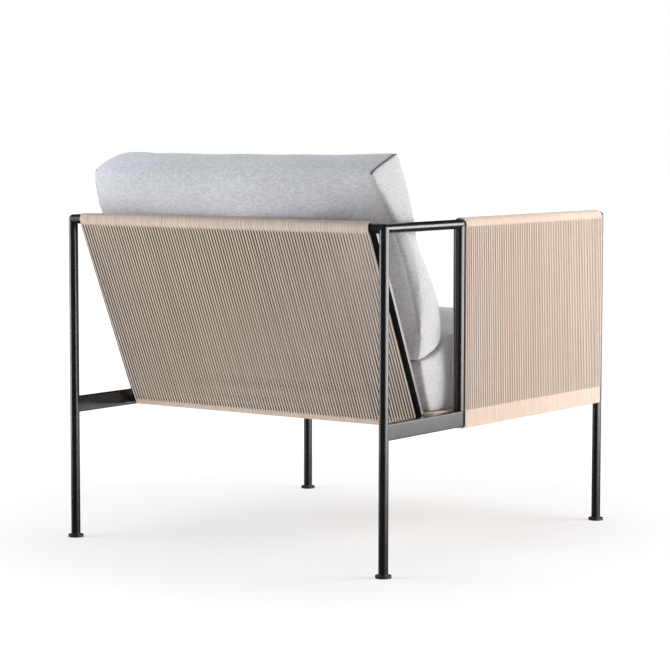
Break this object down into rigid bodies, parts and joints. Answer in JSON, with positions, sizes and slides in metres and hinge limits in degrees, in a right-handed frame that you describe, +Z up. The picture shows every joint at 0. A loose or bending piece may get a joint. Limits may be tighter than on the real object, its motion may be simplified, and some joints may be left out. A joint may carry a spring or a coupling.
{
  "type": "lounge armchair",
  "caption": "Low lounge armchair with a slim round-tube frame, wound cord back, arms and seat, and two loose box cushions.",
  "frame": {"origin": "on the floor, under the middle of the chair's outer box", "axes": "+Z up, -Y towards the front where the sitter's legs hang, +Y towards the back, +X towards the sitter's left"},
  "size_m": [0.77, 0.814, 0.7694],
  "materials": {
    "frame": "satin",
    "insert": "matte",
    "foot": "matte",
    "cord": "matte",
    "foam": "matte",
    "cushion": "matte",
    "zip": "matte"
  },
  "bodies": {
    "frame": {"rear_leg_left": "frame", "rear_leg_right": "frame", "front_leg_left": "frame", "front_leg_right": "frame", "insert_rear_left": "insert", "insert_rear_right": "insert", "insert_front_left": "insert", "insert_front_right": "insert", "arm_rail_left": "frame", "arm_rail_right": "frame", "arm_upright_left": "frame", "arm_upright_right": "frame", "side_bar_left": "frame", "side_bar_right": "frame", "front_seat_rail": "frame", "rear_seat_rail": "frame", "back_top_rail": "frame", "back_bar_left": "frame", "back_bar_right": "frame", "back_bottom_rail": "frame", "arm_cord_left": "cord", "arm_cord_right": "cord", "back_cord": "cord", "seat_cord": "cord"},
    "seat_cushion": {"seat_cushion_core": "foam", "seat_cushion_cover": "cushion", "seat_cushion_zip": "zip"},
    "back_cushion": {"back_cushion_core": "foam", "back_cushion_cover": "cushion", "back_cushion_zip": "zip"},
    "foot_rear_left": {"foot_rear_left": "foot"},
    "foot_rear_right": {"foot_rear_right": "foot"},
    "foot_front_left": {"foot_front_left": "foot"},
    "foot_front_right": {"foot_front_right": "foot"}
  },
  "joints": [
    {"name": "seat_cushion_pull", "type": "slide", "parent": "frame", "child": "seat_cushion", "axis": [0, -1, 0], "range_m": [0, 0.3]},
    {"name": "back_cushion_lift", "type": "slide", "parent": "frame", "child": "back_cushion", "axis": [0, 0.4035, 0.915], "range_m": [0, 0.35]},
    {"name": "foot_rear_left_screw", "type": "slide", "parent": "frame", "child": "foot_rear_left", "axis": [0, 0, -1], "range_m": [0, 0.006]},
    {"name": "foot_rear_right_screw", "type": "slide", "parent": "frame", "child": "foot_rear_right", "axis": [0, 0, -1], "range_m": [0, 0.006]},
    {"name": "foot_front_left_screw", "type": "slide", "parent": "frame", "child": "foot_front_left", "axis": [0, 0, -1], "range_m": [0, 0.006]},
    {"name": "foot_front_right_screw", "type": "slide", "parent": "frame", "child": "foot_front_right", "axis": [0, 0, -1], "range_m": [0, 0.006]}
  ]
}
